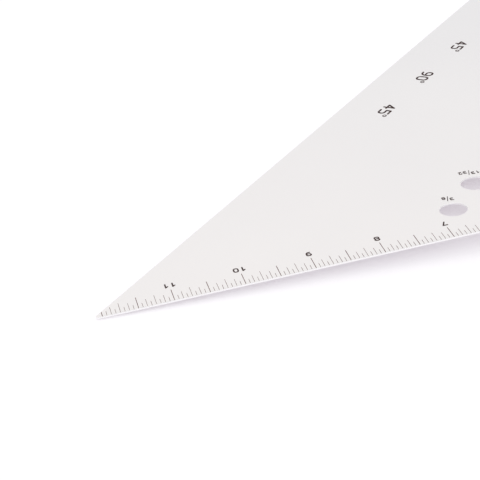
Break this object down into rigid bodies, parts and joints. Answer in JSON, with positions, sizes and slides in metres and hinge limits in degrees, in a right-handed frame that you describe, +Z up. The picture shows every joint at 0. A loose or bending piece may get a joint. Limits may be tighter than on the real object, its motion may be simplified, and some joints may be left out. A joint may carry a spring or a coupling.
{
  "type": "triangle ruler",
  "caption": "Flat 45-45-90 aluminium triangle ruler with printed inch scales along both legs and a sloping row of labelled gauge holes for measuring, marking and sizing.",
  "frame": {"origin": "under the middle of the bounding box, on the plane of the underside, which is the middle of the sloping edge", "axes": "+X along the base scale towards its zero, +Y square to the base edge into the plate, +Z up through the printed face"},
  "size_m": [0.307, 0.307, 0.0008],
  "materials": {
    "satin_aluminium": "satin, fine grained, edges deburred",
    "printed_ink": "black screen print, matt"
  },
  "bodies": {
    "root": {"triangle_plate": "satin_aluminium", "angle_legend": "printed_ink", "base_scale_eighth_lines": "printed_ink", "base_scale_half_lines": "printed_ink", "base_scale_inch_lines": "printed_ink", "base_scale_numerals": "printed_ink", "base_scale_quarter_lines": "printed_ink", "base_scale_sixteenth_lines": "printed_ink", "gauge_label_13_32": "printed_ink", "gauge_label_15_32": "printed_ink", "gauge_label_17_32": "printed_ink", "gauge_label_19_32": "printed_ink", "gauge_label_1_2": "printed_ink", "gauge_label_3_8": "printed_ink", "gauge_label_5_8": "printed_ink", "gauge_label_7_16": "printed_ink", "gauge_label_9_16": "printed_ink", "upright_scale_eighth_lines": "printed_ink", "upright_scale_half_lines": "printed_ink", "upright_scale_inch_lines": "printed_ink", "upright_scale_numerals": "printed_ink", "upright_scale_quarter_lines": "printed_ink", "upright_scale_sixteenth_lines": "printed_ink"}
  },
  "joints": []
}
